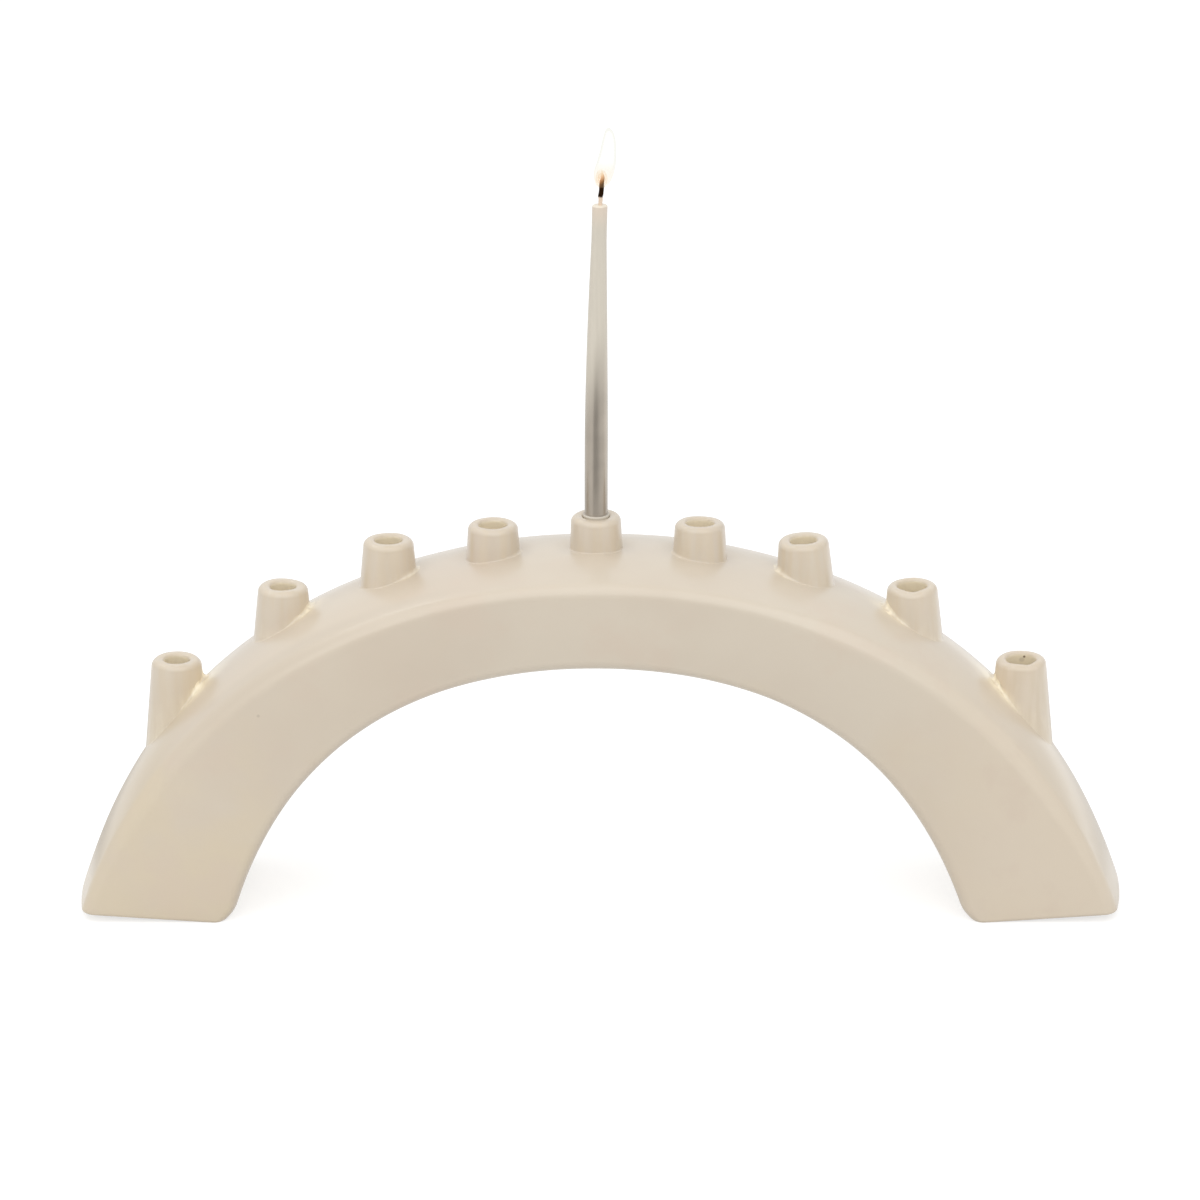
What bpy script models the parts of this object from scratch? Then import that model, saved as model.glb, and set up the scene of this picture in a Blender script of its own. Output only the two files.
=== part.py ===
"""Arch menorah in glazed ceramic, with one taper candle in its middle cup.

A hollow ceramic arch stands on two feet. Nine candle cups, made apart as short tapered
tubes, sit along its crest, and the crest itself is the floor of every cup. The candle
lifts out of the middle cup and takes its wick with it.

Metres, +Z up. The front faces -Y. The origin is on the floor, under the middle of the arch.
"""
import math

import bmesh
import bpy
from mathutils import Vector

# Crest line: the highest line of the arch, seen from the front
CREST_HEIGHT = 0.1620
CREST_TOP_HANDLE = 0.0420
CREST_HALF_SPAN = 0.2310
CREST_FOOT_HANDLE = 0.1580
CREST_FOOT_LEAN = math.radians(17.0)

# Opening line: the underside of the arch, seen from the front
OPENING_HEIGHT = 0.1172
OPENING_TOP_HANDLE = 0.0850
OPENING_HALF_SPAN = 0.1600
OPENING_FOOT_HANDLE = 0.0790
OPENING_FOOT_LEAN = math.radians(17.0)

# Cross-section of the arch
ARCH_DEPTH = 0.0720
CREST_CROWN_RADIUS = 0.0950
TOP_EDGE_RADIUS = 0.0060
UNDER_EDGE_RADIUS = 0.0050
ARCH_WALL = 0.0060

# Feet: the clay sagged in the kiln, so each foot curls up towards its outer edge,
# and a strip along its inner edge was ground flat to stand on
FOOT_CURL = 0.0039
LAND_GRIND_DEPTH = 0.0006
FOOT_EDGE_RADIUS = 0.0032
VENT_DIAMETER = 0.0070

# Candle cups
CUP_PITCH = 0.0455
CUP_SET_BACK = 0.0050
CUP_LIP_DIAMETER = 0.0214
CUP_BORE_DIAMETER = 0.0123
CUP_TAPER = math.radians(5.0)
LIP_OUTER_RADIUS = 0.0024
LIP_INNER_RADIUS = 0.0009
SEAM_GAP = 0.0003

# How far each lip stands above the crest, from the middle cup outwards
CUP_STANDS = (0.0123, 0.0122, 0.0155, 0.0158, 0.0216)

# The cups from left to right, and how each was set by hand: its shift to the right,
# and its leans to the right and to the back in degrees
CUP_NAMES = (
    "cup_left_4", "cup_left_3", "cup_left_2", "cup_left_1", "shamash_cup",
    "cup_right_1", "cup_right_2", "cup_right_3", "cup_right_4",
)
CUP_SHIFTS = (-0.0019, 0.0005, 0.0014, 0.0012, 0.0002, -0.0005, -0.0015, 0.0001, 0.0022)
CUP_LEANS_RIGHT = (1.2, 1.8, 1.0, 0.0, 0.0, 0.5, -2.5, -1.5, -0.5)
CUP_LEANS_BACK = (0.0, 0.0, 0.5, 0.0, 0.0, 2.5, 0.0, -0.5, 0.0)
MIDDLE_CUP = CUP_NAMES.index("shamash_cup")

# Candle and wick
CANDLE_LENGTH = 0.1498
CANDLE_FOOT_DIAMETER = 0.0100
CANDLE_TIP_DIAMETER = 0.0065
CANDLE_STRAIGHT_FOOT = 0.0450
CANDLE_STRAIGHT_TIP = 0.0158
CANDLE_EDGE = 0.0004
CANDLE_SEAT_GAP = 0.0003
CANDLE_LEAN = 0.0013
CANDLE_BOW = 0.0021
COLLAR_HEIGHT = 0.0030
COLLAR_CLEARANCE = 0.0003
WICK_DIAMETER = 0.0017
WICK_CLEARANCE = 0.0003
WICK_STICK_OUT = 0.0140

# Facet counts
HALF_STATIONS = 18
CUP_SIDES = 24
CANDLE_SIDES = 20
CANDLE_LEVELS = 9
WICK_SIDES = 8
WICK_LEVELS = 12


def clear_scene():
    """Remove whatever the scene starts with."""
    for item in list(bpy.data.objects):
        bpy.data.objects.remove(item, do_unlink=True)


def make_material(name, colour, roughness, metallic=0.0):
    """A plain surface with a colour, a roughness and a metallic value."""
    material = bpy.data.materials.new(name)
    material.use_nodes = True
    shader = material.node_tree.nodes["Principled BSDF"]
    shader.inputs["Base Color"].default_value = (*colour, 1.0)
    shader.inputs["Roughness"].default_value = roughness
    shader.inputs["Metallic"].default_value = metallic
    return material


def make_object(name, bm, material=None, smooth_angle=math.radians(32)):
    """Turn a bmesh into a named object, shaded smooth apart from its sharp edges."""
    bmesh.ops.remove_doubles(bm, verts=bm.verts, dist=1e-6)
    bmesh.ops.recalc_face_normals(bm, faces=bm.faces)
    mesh = bpy.data.meshes.new(name)
    bm.to_mesh(mesh)
    bm.free()
    mesh.shade_smooth()
    mesh.set_sharp_from_angle(angle=smooth_angle)
    if material:
        mesh.materials.append(material)
    item = bpy.data.objects.new(name, mesh)
    bpy.context.scene.collection.objects.link(item)
    return item


def make_cutter(name, bm):
    """A shape that only cuts others."""
    item = make_object(name, bm)
    item.hide_render = True
    item.display_type = "WIRE"
    return item


def cut(item, cutter):
    """Take the cutter's shape away from the item."""
    step = item.modifiers.new("cut_by_" + cutter.name, "BOOLEAN")
    step.operation = "DIFFERENCE"
    step.solver = "EXACT"
    step.object = cutter


class ArchLine:
    """One half of an arch line: from the crown, level, down to a foot that leans inwards."""

    def __init__(self, height, top_handle, half_span, foot_handle, foot_lean):
        self.crown = Vector((0.0, height))
        self.crown_pull = Vector((top_handle, height))
        self.foot = Vector((half_span, 0.0))
        lean = Vector((-math.sin(foot_lean), math.cos(foot_lean)))
        self.foot_pull = self.foot + foot_handle * lean

    def at(self, share):
        """The point (x, z) at a share of the way from the crown to the foot."""
        rest = 1.0 - share
        return (rest ** 3 * self.crown + 3 * rest ** 2 * share * self.crown_pull
                + 3 * rest * share ** 2 * self.foot_pull + share ** 3 * self.foot)

    def share_where(self, axis, value):
        """The share at which x (axis 0) or z (axis 1) reaches a value."""
        low, high = 0.0, 1.2
        rising = axis == 0
        for _ in range(50):
            middle = (low + high) / 2
            if (self.at(middle)[axis] < value) == rising:
                low = middle
            else:
                high = middle
        return low


CREST = ArchLine(CREST_HEIGHT, CREST_TOP_HANDLE, CREST_HALF_SPAN,
                 CREST_FOOT_HANDLE, CREST_FOOT_LEAN)
OPENING = ArchLine(OPENING_HEIGHT, OPENING_TOP_HANDLE, OPENING_HALF_SPAN,
                   OPENING_FOOT_HANDLE, OPENING_FOOT_LEAN)


def crest_height_at(x):
    """Height of the crest line at a distance from the middle."""
    return CREST.at(CREST.share_where(0, abs(x))).y


def wall_depth_to_crest(x, lip_height):
    """How far below its lip a cup's outer wall meets the crest, on the side where it falls."""
    low, high = 0.0, lip_height
    for _ in range(30):
        depth = (low + high) / 2
        wall_x = abs(x) + CUP_LIP_DIAMETER / 2 + depth * math.tan(CUP_TAPER)
        if lip_height - depth > crest_height_at(wall_x):
            low = depth
        else:
            high = depth
    return low


def crown_drop_at(y):
    """How far the crowned top has fallen at a distance in front of or behind its ridge."""
    return CREST_CROWN_RADIUS - math.sqrt(CREST_CROWN_RADIUS ** 2 - y ** 2)


def arc(centre, radius, start, end, steps):
    """Points (side, up) on an arc, with its angles measured from straight up towards +side."""
    points = []
    for step in range(steps + 1):
        angle = start + (end - start) * step / steps
        points.append((centre[0] + radius * math.sin(angle), centre[1] + radius * math.cos(angle)))
    return points


def section(inset, corner_steps, crown_steps):
    """Outline of the arch's cross-section, moved inwards by an inset.

    Each point is (kind, depth, rise). Rise counts from the crest for kind "crest" and
    from the opening line for kind "opening", so one outline fits every thickness.
    """
    half_depth = ARCH_DEPTH / 2 - inset
    crown = CREST_CROWN_RADIUS - inset
    top_edge = max(TOP_EDGE_RADIUS - inset, 0.001)
    under_edge = max(UNDER_EDGE_RADIUS - inset, 0.001)
    quarter = math.radians(90)

    edge_side = half_depth - top_edge
    edge_tilt = math.asin(edge_side / (crown - top_edge))
    edge_up = -inset - crown + (crown - top_edge) * math.cos(edge_tilt)
    front_top = arc((-edge_side, edge_up), top_edge, -quarter, -edge_tilt, corner_steps)
    ridge = arc((0.0, -inset - crown), crown, -edge_tilt, edge_tilt, crown_steps)[1:-1]
    back_top = arc((edge_side, edge_up), top_edge, edge_tilt, quarter, corner_steps)

    under_side = half_depth - under_edge
    under_up = inset + under_edge
    back_under = arc((under_side, under_up), under_edge, quarter, 2 * quarter, corner_steps)
    front_under = arc((-under_side, under_up), under_edge, -2 * quarter, -quarter, corner_steps)

    outline = [("crest", *point) for point in front_top + ridge + back_top]
    outline += [("opening", *point) for point in back_under + front_under]
    return outline


def section_ring(outline, crest_point, opening_point):
    """Stand an outline between a point of the opening line and a point of the crest."""
    up = (crest_point - opening_point).normalized()
    ring = []
    for kind, depth, rise in outline:
        base = crest_point if kind == "crest" else opening_point
        place = base + up * rise
        ring.append(Vector((place.x, depth, place.y)))
    return ring


def foot_ring(outline, height):
    """The outline in a plane at a height above the underside of the right foot."""
    crest_share = CREST.share_where(1, FOOT_CURL + height)
    opening_share = OPENING.share_where(1, height - LAND_GRIND_DEPTH)
    return section_ring(outline, CREST.at(crest_share), OPENING.at(opening_share))


def arch_rings(inset, end_height, edge_radius, corner_steps, crown_steps, stations):
    """Cross-sections from the left foot, over the crown, to the right foot."""
    outline = section(inset, corner_steps, crown_steps)
    crest_end = CREST.share_where(1, FOOT_CURL + end_height + edge_radius)
    opening_end = OPENING.share_where(1, end_height + edge_radius - LAND_GRIND_DEPTH)
    right = []
    for station in range(stations + 1):
        share = station / stations
        right.append(section_ring(outline, CREST.at(share * crest_end),
                                  OPENING.at(share * opening_end)))
    if edge_radius:
        for degrees in (30, 60, 90):
            angle = math.radians(degrees)
            drawn_in = section(inset + edge_radius * (1 - math.cos(angle)),
                               corner_steps, crown_steps)
            right.append(foot_ring(drawn_in, end_height + edge_radius * (1 - math.sin(angle))))
    left = [[Vector((-point.x, point.y, point.z)) for point in ring] for ring in right[:0:-1]]
    return left + right


def loft(rings):
    """A closed solid through rings of equal point counts."""
    bm = bmesh.new()
    loops = [[bm.verts.new(point) for point in ring] for ring in rings]
    count = len(rings[0])
    for first, second in zip(loops, loops[1:]):
        for index in range(count):
            after = (index + 1) % count
            bm.faces.new((first[index], first[after], second[after], second[index]))
    bm.faces.new(loops[0])
    bm.faces.new(loops[-1])
    return bm


def grind_flat(bm):
    """Grind away what reaches below the floor, and close the flat left behind."""
    geometry = bm.verts[:] + bm.edges[:] + bm.faces[:]
    ground = bmesh.ops.bisect_plane(bm, geom=geometry, dist=1e-7, plane_co=(0, 0, 0),
                                    plane_no=(0, 0, 1), clear_inner=True)
    rim = [part for part in ground["geom_cut"] if isinstance(part, bmesh.types.BMEdge)]
    bmesh.ops.holes_fill(bm, edges=rim, sides=0)


def make_vent_cutter(side):
    """A round hole up through the underside of one foot, into the hollow."""
    middle = (CREST_HALF_SPAN + OPENING_HALF_SPAN) / 2
    length = ARCH_WALL + FOOT_CURL + 2 * FOOT_EDGE_RADIUS
    bm = bmesh.new()
    bmesh.ops.create_cone(bm, cap_ends=True, segments=16, radius1=VENT_DIAMETER / 2,
                          radius2=VENT_DIAMETER / 2, depth=2 * length)
    bmesh.ops.translate(bm, verts=bm.verts, vec=(side * middle, 0, 0))
    return make_cutter("vent_hole_right" if side > 0 else "vent_hole_left", bm)


def make_arch(material):
    """The hollow arch, with a vent in each foot."""
    rings = arch_rings(0.0, 0.0, FOOT_EDGE_RADIUS, 4, 6, HALF_STATIONS)
    bm = loft(rings)
    grind_flat(bm)
    arch = make_object("arch_body", bm, material)
    hollow = arch_rings(ARCH_WALL, ARCH_WALL, 0.0, 2, 4, HALF_STATIONS - 4)
    cut(arch, make_cutter("arch_hollow", loft(hollow)))
    for side in (-1, 1):
        cut(arch, make_vent_cutter(side))
    return arch


def make_seam_cutter():
    """The arch's outside, larger by the seam, which shapes the underside of every cup."""
    rings = arch_rings(-SEAM_GAP, 0.0, 0.0, 4, 6, HALF_STATIONS)
    return make_cutter("arch_seam", loft(rings))


def spin_profile(profile, sides):
    """Turn a closed profile of (radius, height) points once round the Z axis."""
    bm = bmesh.new()
    verts = [bm.verts.new((radius, 0.0, height)) for radius, height in profile]
    edges = [bm.edges.new((first, second)) for first, second in zip(verts, verts[1:] + verts[:1])]
    bmesh.ops.spin(bm, geom=verts + edges, cent=(0, 0, 0), axis=(0, 0, 1),
                   angle=math.radians(360), steps=sides, use_merge=True)
    return bm


def cup_profile(length):
    """A tapered tube with a rounded lip at height 0, running down by its length."""
    lip = CUP_LIP_DIAMETER / 2
    bore = CUP_BORE_DIAMETER / 2
    quarter = math.radians(90)
    outer = arc((lip - LIP_OUTER_RADIUS, -LIP_OUTER_RADIUS), LIP_OUTER_RADIUS,
                0.0, quarter - CUP_TAPER, 3)
    foot_radius = lip + (length - LIP_OUTER_RADIUS) * math.tan(CUP_TAPER)
    inner = arc((bore + LIP_INNER_RADIUS, -LIP_INNER_RADIUS), LIP_INNER_RADIUS,
                -quarter, 0.0, 2)
    return outer + [(foot_radius, -length), (bore, -length)] + inner


def make_cup(index, seam_cutter, material):
    """One candle cup: a tapered tube whose foot is cut to the shape of the crest."""
    place = index - MIDDLE_CUP
    x = place * CUP_PITCH + CUP_SHIFTS[index]
    lip_height = crest_height_at(x) + CUP_STANDS[abs(place)]
    side_fall = crown_drop_at(CUP_SET_BACK + CUP_LIP_DIAMETER)
    length = wall_depth_to_crest(x, lip_height) + side_fall + LIP_OUTER_RADIUS
    cup = make_object(CUP_NAMES[index], spin_profile(cup_profile(length), CUP_SIDES), material)
    cup.location = (x, CUP_SET_BACK, lip_height)
    lean_back = math.radians(CUP_LEANS_BACK[index])
    lean_right = math.radians(CUP_LEANS_RIGHT[index])
    cup.rotation_euler = (-lean_back, lean_right, 0.0)
    cut(cup, seam_cutter)
    return cup


def bend_with_candle(bm):
    """Move every level sideways by the candle's lean and bow."""
    for vert in bm.verts:
        share = vert.co.z / CANDLE_LENGTH
        vert.co.x += CANDLE_LEAN * share + CANDLE_BOW * share * abs(share)


def candle_radius_at(height):
    """Straight at the foot, then drawn in faster and faster, and straight again at the tip."""
    taper = CANDLE_LENGTH - CANDLE_STRAIGHT_FOOT - CANDLE_STRAIGHT_TIP
    share = min(max((height - CANDLE_STRAIGHT_FOOT) / taper, 0.0), 1.0)
    fall = (CANDLE_FOOT_DIAMETER - CANDLE_TIP_DIAMETER) / 2
    return CANDLE_FOOT_DIAMETER / 2 - fall * share ** 1.5


def candle_profile():
    """The candle's outside from foot to tip, and the channel that holds its wick.

    A collar of softened wax fills the mouth of the cup round the candle.
    """
    cup_mouth = CUP_STANDS[0] - CANDLE_SEAT_GAP
    collar_radius = CUP_BORE_DIAMETER / 2 - COLLAR_CLEARANCE
    collar_foot = cup_mouth - COLLAR_HEIGHT
    collar_top = cup_mouth - LIP_INNER_RADIUS
    channel = WICK_DIAMETER / 2 + WICK_CLEARANCE
    foot_radius = candle_radius_at(0.0)
    shaft_start = collar_top + 2 * CANDLE_EDGE
    profile = [
        (channel, 0.0),
        (foot_radius - CANDLE_EDGE, 0.0),
        (foot_radius, CANDLE_EDGE),
        (foot_radius, collar_foot - CANDLE_EDGE),
        (collar_radius, collar_foot),
        (collar_radius, collar_top),
        (foot_radius, shaft_start),
    ]
    for level in range(1, CANDLE_LEVELS + 1):
        climb = (CANDLE_LENGTH - CANDLE_EDGE - shaft_start) * level / CANDLE_LEVELS
        height = shaft_start + climb
        profile.append((candle_radius_at(height), height))
    profile.append((candle_radius_at(CANDLE_LENGTH) - CANDLE_EDGE, CANDLE_LENGTH))
    for level in range(CANDLE_LEVELS, 0, -1):
        profile.append((channel, CANDLE_LENGTH * level / CANDLE_LEVELS))
    return profile


def make_candle(seat, material):
    """The taper candle, standing on the crest inside the middle cup."""
    bm = spin_profile(candle_profile(), CANDLE_SIDES)
    bend_with_candle(bm)
    candle = make_object("candle", bm, material)
    candle.location = seat
    return candle


def make_wick(seat, material):
    """The wick, from the candle's foot to its burning end."""
    length = CANDLE_LENGTH + WICK_STICK_OUT
    rings = []
    for level in range(WICK_LEVELS + 1):
        height = length * level / WICK_LEVELS
        radius = WICK_DIAMETER / 2
        ring = []
        for side in range(WICK_SIDES):
            angle = 2 * math.pi * side / WICK_SIDES
            ring.append(Vector((radius * math.cos(angle), radius * math.sin(angle), height)))
        rings.append(ring)
    bm = loft(rings)
    bend_with_candle(bm)
    wick = make_object("wick", bm, material)
    wick.location = seat
    return wick


def build():
    """Make every piece in its place."""
    clear_scene()
    glaze = make_material("cream_glaze", (0.72, 0.62, 0.50), 0.22)
    arch = make_arch(glaze)
    seam_cutter = make_seam_cutter()
    for index, name in enumerate(CUP_NAMES):
        cup_glaze = make_material(name + "_glaze", (0.72, 0.62, 0.50), 0.22)
        make_cup(index, seam_cutter, cup_glaze)

    seat = Vector((CUP_SHIFTS[MIDDLE_CUP], CUP_SET_BACK, CREST_HEIGHT + CANDLE_SEAT_GAP))
    wax = make_material("silver_dipped_wax", (0.62, 0.60, 0.56), 0.35, 0.6)
    cotton = make_material("charred_cotton", (0.05, 0.03, 0.02), 0.9)
    make_candle(seat, wax)
    make_wick(seat, cotton)
    return arch


build()
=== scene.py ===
"""Arch menorah: the glaze, the wax and the flame, made round the fixed frame of the part.

The ceramic arch gets a fine skin with the softness of hand-pressed clay. Each cup is a
turned tube, joined to the arch by a small fillet of glaze. The taper candle is white wax
dipped in silver paint, with a charred wick and a flame. The frame gives the sizes and the
places, in metres, +Z up, with the front facing -Y.
"""
import math
from collections import namedtuple

import bmesh
import bpy
from bmesh.types import BMEdge, BMFace, BMVert
from bpy.props import FloatProperty, FloatVectorProperty, IntProperty, PointerProperty
from mathutils import Matrix, Vector, noise
from mathutils.bvhtree import BVHTree


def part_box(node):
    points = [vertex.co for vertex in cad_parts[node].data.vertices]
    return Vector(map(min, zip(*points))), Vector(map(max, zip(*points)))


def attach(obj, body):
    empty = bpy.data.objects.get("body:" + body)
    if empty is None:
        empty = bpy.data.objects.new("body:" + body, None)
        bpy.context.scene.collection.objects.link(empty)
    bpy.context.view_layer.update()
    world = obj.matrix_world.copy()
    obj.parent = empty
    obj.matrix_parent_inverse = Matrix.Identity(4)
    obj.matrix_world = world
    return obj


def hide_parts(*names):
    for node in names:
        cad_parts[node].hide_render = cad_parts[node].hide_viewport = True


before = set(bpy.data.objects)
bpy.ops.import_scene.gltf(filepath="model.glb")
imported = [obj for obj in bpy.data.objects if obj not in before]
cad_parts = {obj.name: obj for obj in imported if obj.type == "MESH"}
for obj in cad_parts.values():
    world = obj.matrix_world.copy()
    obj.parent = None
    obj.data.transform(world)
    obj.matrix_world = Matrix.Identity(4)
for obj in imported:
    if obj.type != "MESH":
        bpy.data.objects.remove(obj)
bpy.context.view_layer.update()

bl_info = {
    "name": "Arch menorah",
    "version": (1, 0, 0),
    "blender": (4, 5, 0),
    "location": "3D View > Sidebar > Menorah",
    "description": "Makes a glazed arch menorah with a lit taper candle round its frame",
    "category": "Object",
}

QUARTER = math.radians(90)
FULL_TURN = math.radians(360)
SHARP_ANGLE = math.radians(60)
SAME_PLACE = 1e-6

ARCH_LOW, ARCH_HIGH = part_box("arch_body")
CANDLE_LOW, CANDLE_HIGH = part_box("candle")
WICK_LOW, WICK_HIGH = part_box("wick")
SHAMASH_LOW, SHAMASH_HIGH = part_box("shamash_cup")

# How each hand-made cup leans, to the right and to the back in degrees, how far its glazed
# lip rises above the bare clay's, how many degrees its wall leans out on its way down, and
# the width of its bore against the plain one
CupShape = namedtuple("CupShape", "right back rise taper openness")
CUP_SHAPES = {
    "cup_left_4": CupShape(1.2, 0.0, 0.0003, 5.0, 0.90),
    "cup_left_3": CupShape(1.8, 0.0, 0.0003, 5.0, 0.90),
    "cup_left_2": CupShape(1.0, 0.5, 0.0003, 5.0, 0.95),
    "cup_left_1": CupShape(0.3, 0.0, -0.0004, 3.6, 0.98),
    "shamash_cup": CupShape(0.0, 0.0, -0.0004, 2.6, 0.90),
    "cup_right_1": CupShape(0.4, 2.5, 0.0002, 3.6, 0.98),
    "cup_right_2": CupShape(-2.5, 0.0, 0.0, 4.6, 0.93),
    "cup_right_3": CupShape(-1.5, -0.5, 0.0003, 5.0, 1.05),
    "cup_right_4": CupShape(-0.5, 0.0, 0.0003, 5.0, 1.04),
}
SHAMASH_RIM = SHAMASH_HIGH.z + CUP_SHAPES["shamash_cup"].rise

# Where a lip was pressed in: which way from the middle in degrees, with 270 at the front,
# how wide in degrees, and how deep
LIP_DENTS = {
    "cup_left_4": ((20.0, 30.0, 0.0004), (170.0, 35.0, 0.0003)),
    "cup_right_2": ((222.0, 24.0, 0.0005),),
    "cup_right_3": ((272.0, 24.0, 0.0006),),
    "cup_right_4": ((292.0, 20.0, 0.0007), (205.0, 30.0, 0.0003)),
}

# What the mark of pooled glaze and painted light says inside a bore, where it is 0 to 1
# elsewhere
IN_BORE = -1.0


# Sizes and colours that a user may change

def a_length(name, description, default):
    """A setting in metres."""
    return FloatProperty(name=name, description=description, default=default, unit="LENGTH")


def an_angle(name, description, default):
    """A setting that is an angle."""
    return FloatProperty(name=name, description=description, default=default, unit="ROTATION")


def a_colour(name, description, default):
    """A setting that is a colour."""
    return FloatVectorProperty(name=name, description=description, default=default,
                               subtype="COLOR", min=0.0, max=1.0)


class ArchSettings(bpy.types.PropertyGroup):
    """Sizes and colours of the ceramic arch."""

    crest_height: a_length(
        "Crest Height", "Height of the arch's ridge above the floor", ARCH_HIGH.z)
    crest_top_handle: a_length(
        "Crest Top Handle", "How far the crest line runs level from the crown", 0.0420)
    crest_half_span: a_length(
        "Crest Half Span", "From the middle to where the crest meets the floor", 0.2310)
    crest_foot_handle: a_length(
        "Crest Foot Handle", "How far the crest line runs straight from the foot", 0.1580)
    opening_height: a_length(
        "Opening Height", "Height of the underside of the arch at the crown", 0.1172)
    opening_top_handle: a_length(
        "Opening Top Handle", "How far the underside runs level from the crown", 0.0850)
    opening_half_span: a_length(
        "Opening Half Span", "From the middle to the inner edge of a foot", 0.1600)
    opening_foot_handle: a_length(
        "Opening Foot Handle", "How far the underside runs straight from the foot", 0.0790)
    foot_lean: an_angle(
        "Foot Lean", "How far both lines lean inwards at the feet", math.radians(17.0))
    depth: a_length(
        "Depth", "Depth of the arch from front to back", ARCH_HIGH.y - ARCH_LOW.y)
    crown_rise: a_length(
        "Crown Rise", "How much higher the ridge lies than the edges of the top", 0.0071)
    crown_flatness: a_length(
        "Crown Flatness", "How much lower the ridge lies where it is level", 0.0016)
    foot_crown_rise: a_length(
        "Foot Crown Rise", "How much the ridge stands out at the feet", 0.0036)
    top_edge_radius: a_length(
        "Top Edge Radius", "Rounding of the top's edges where it is level", 0.0064)
    leg_edge_radius: a_length(
        "Leg Edge Radius", "Rounding of the top's edges over the legs", 0.0085)
    leg_groove: a_length(
        "Leg Groove", "Depth of the trace that the maker's tool left on them", 0.0006)
    under_edge_radius: a_length(
        "Under Edge Radius", "Rounding of the two edges of the underside", 0.0050)
    foot_edge_radius: a_length(
        "Foot Edge Radius", "Rounding round the sole of each foot", 0.0045)
    foot_curl: a_length(
        "Foot Curl", "How far the outer edge of a foot stands off the floor", 0.0039)
    grind_depth: a_length(
        "Grind Depth", "How much was ground off the soles to make them flat", 0.0006)
    vent_diameter: a_length(
        "Vent Diameter", "Width of the air hole in the sole of each foot", 0.0070)
    sway: a_length(
        "Sway", "How far the hand-pressed surface wanders from its true shape", 0.00022)
    cup_dent: a_length(
        "Cup Dent", "How deep the clay was pressed in beside the middle cups", 0.0010)
    glaze_colour: a_colour(
        "Glaze Colour", "The glaze where it lies evenly", (0.650, 0.570, 0.460))
    # The pool colour is the thick glaze in the seams round the cups, painted much lighter than
    # the even glaze: a painted highlight over the seams' shade
    pool_and_highlight_colour: a_colour(
        "Pool Colour", "The glaze where it has run together and is thick", (0.96, 0.865, 0.67))
    # The bore colour is the thick glaze inside the cups, painted lighter than the glaze
    # outside: painted light in the shade of the bores
    bore_glaze_and_painted_light: a_colour(
        "Bore Colour", "The thick glaze inside the cups", (0.83, 0.74, 0.57))
    glaze_roughness: FloatProperty(
        name="Glaze Roughness", description="Roughness of the satin glaze",
        default=0.31, subtype="FACTOR", min=0.0, max=1.0)


class CupSettings(bpy.types.PropertyGroup):
    """Sizes of the candle cups."""

    lip_diameter: a_length(
        "Lip Diameter", "Outer width of a cup at its lip", 0.0214)
    bore_diameter: a_length(
        "Bore Diameter", "Width of the hole that takes a candle", 0.0123)
    lip_outer_radius: a_length(
        "Lip Outer Radius", "Rounding of the outer edge of the lip", 0.0025)
    lip_inner_radius: a_length(
        "Lip Inner Radius", "Rounding of the inner edge of the lip", 0.0014)
    unevenness: a_length(
        "Unevenness", "How far a lip strays from a true circle", 0.0004)
    fillet: a_length(
        "Glaze Fillet", "Radius of the glaze in the seam on a level crest", 0.0006)
    uphill_fillet: a_length(
        "Uphill Fillet", "How much larger it is where the crest climbs away", 0.0050)
    sides: IntProperty(
        name="Sides", description="Number of steps round a cup", default=72)


class CandleSettings(bpy.types.PropertyGroup):
    """Sizes and colours of the candle and its wick."""

    foot_diameter: a_length(
        "Foot Diameter", "Width of the candle in its cup", 0.0100)
    tip_diameter: a_length(
        "Tip Diameter", "Width of the candle at its top", 0.0065)
    straight_foot: a_length(
        "Straight Foot", "Length at the foot that isn't tapered", 0.0450)
    straight_tip: a_length(
        "Straight Tip", "Length at the top that isn't tapered", 0.0158)
    lean: a_length(
        "Lean", "How far the candle's top stands to the right of its foot", 0.0013)
    bow: a_length(
        "Bow", "How much further its top has drooped to the right", 0.0021)
    collar_diameter: a_length(
        "Collar Diameter", "Width of the ring of soft wax round the foot", 0.0116)
    collar_height: a_length(
        "Collar Height", "How high the ring of wax stands above the cup", 0.0011)
    collar_depth: a_length(
        "Collar Depth", "How far the soft wax reaches down into the cup", 0.0030)
    wick_diameter: a_length(
        "Wick Diameter", "Width of the cotton wick", 0.0018)
    dip_height: a_length(
        "Dip Height", "Height above the floor to which the silver reaches", 0.2356)
    wax_colour: a_colour(
        "Wax Colour", "The white wax of the upper half", (0.635, 0.585, 0.495))
    silver_colour: a_colour(
        "Silver Colour", "The silver paint that the lower half is dipped in",
        (0.437, 0.389, 0.328))


class StageSettings(bpy.types.PropertyGroup):
    """The photographer's lights and camera."""

    camera_place: FloatVectorProperty(
        name="Camera Place", description="Where the camera stands",
        default=(0.06096, -1.9, 0.84253), subtype="TRANSLATION")
    camera_pitch: an_angle(
        "Camera Pitch", "How far the camera looks down", 0.3555)
    camera_turn: an_angle(
        "Camera Turn", "How far the camera looks to the right", -0.0312)
    camera_roll: an_angle(
        "Camera Roll", "How far the camera is rolled", -0.0129)
    focal_length: FloatProperty(
        name="Focal Length", description="Focal length on a sensor 36 mm wide, in millimetres",
        default=140.64)
    world_strength: FloatProperty(
        name="World Strength", description="Light from all round", default=0.80)
    key_power: FloatProperty(
        name="Key Power", description="Power of the large soft light in front, in watts",
        default=14.6)
    rim_power: FloatProperty(
        name="Rim Power", description="Power of the narrow light above and behind, in watts",
        default=1.15)


# Shader maths

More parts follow.
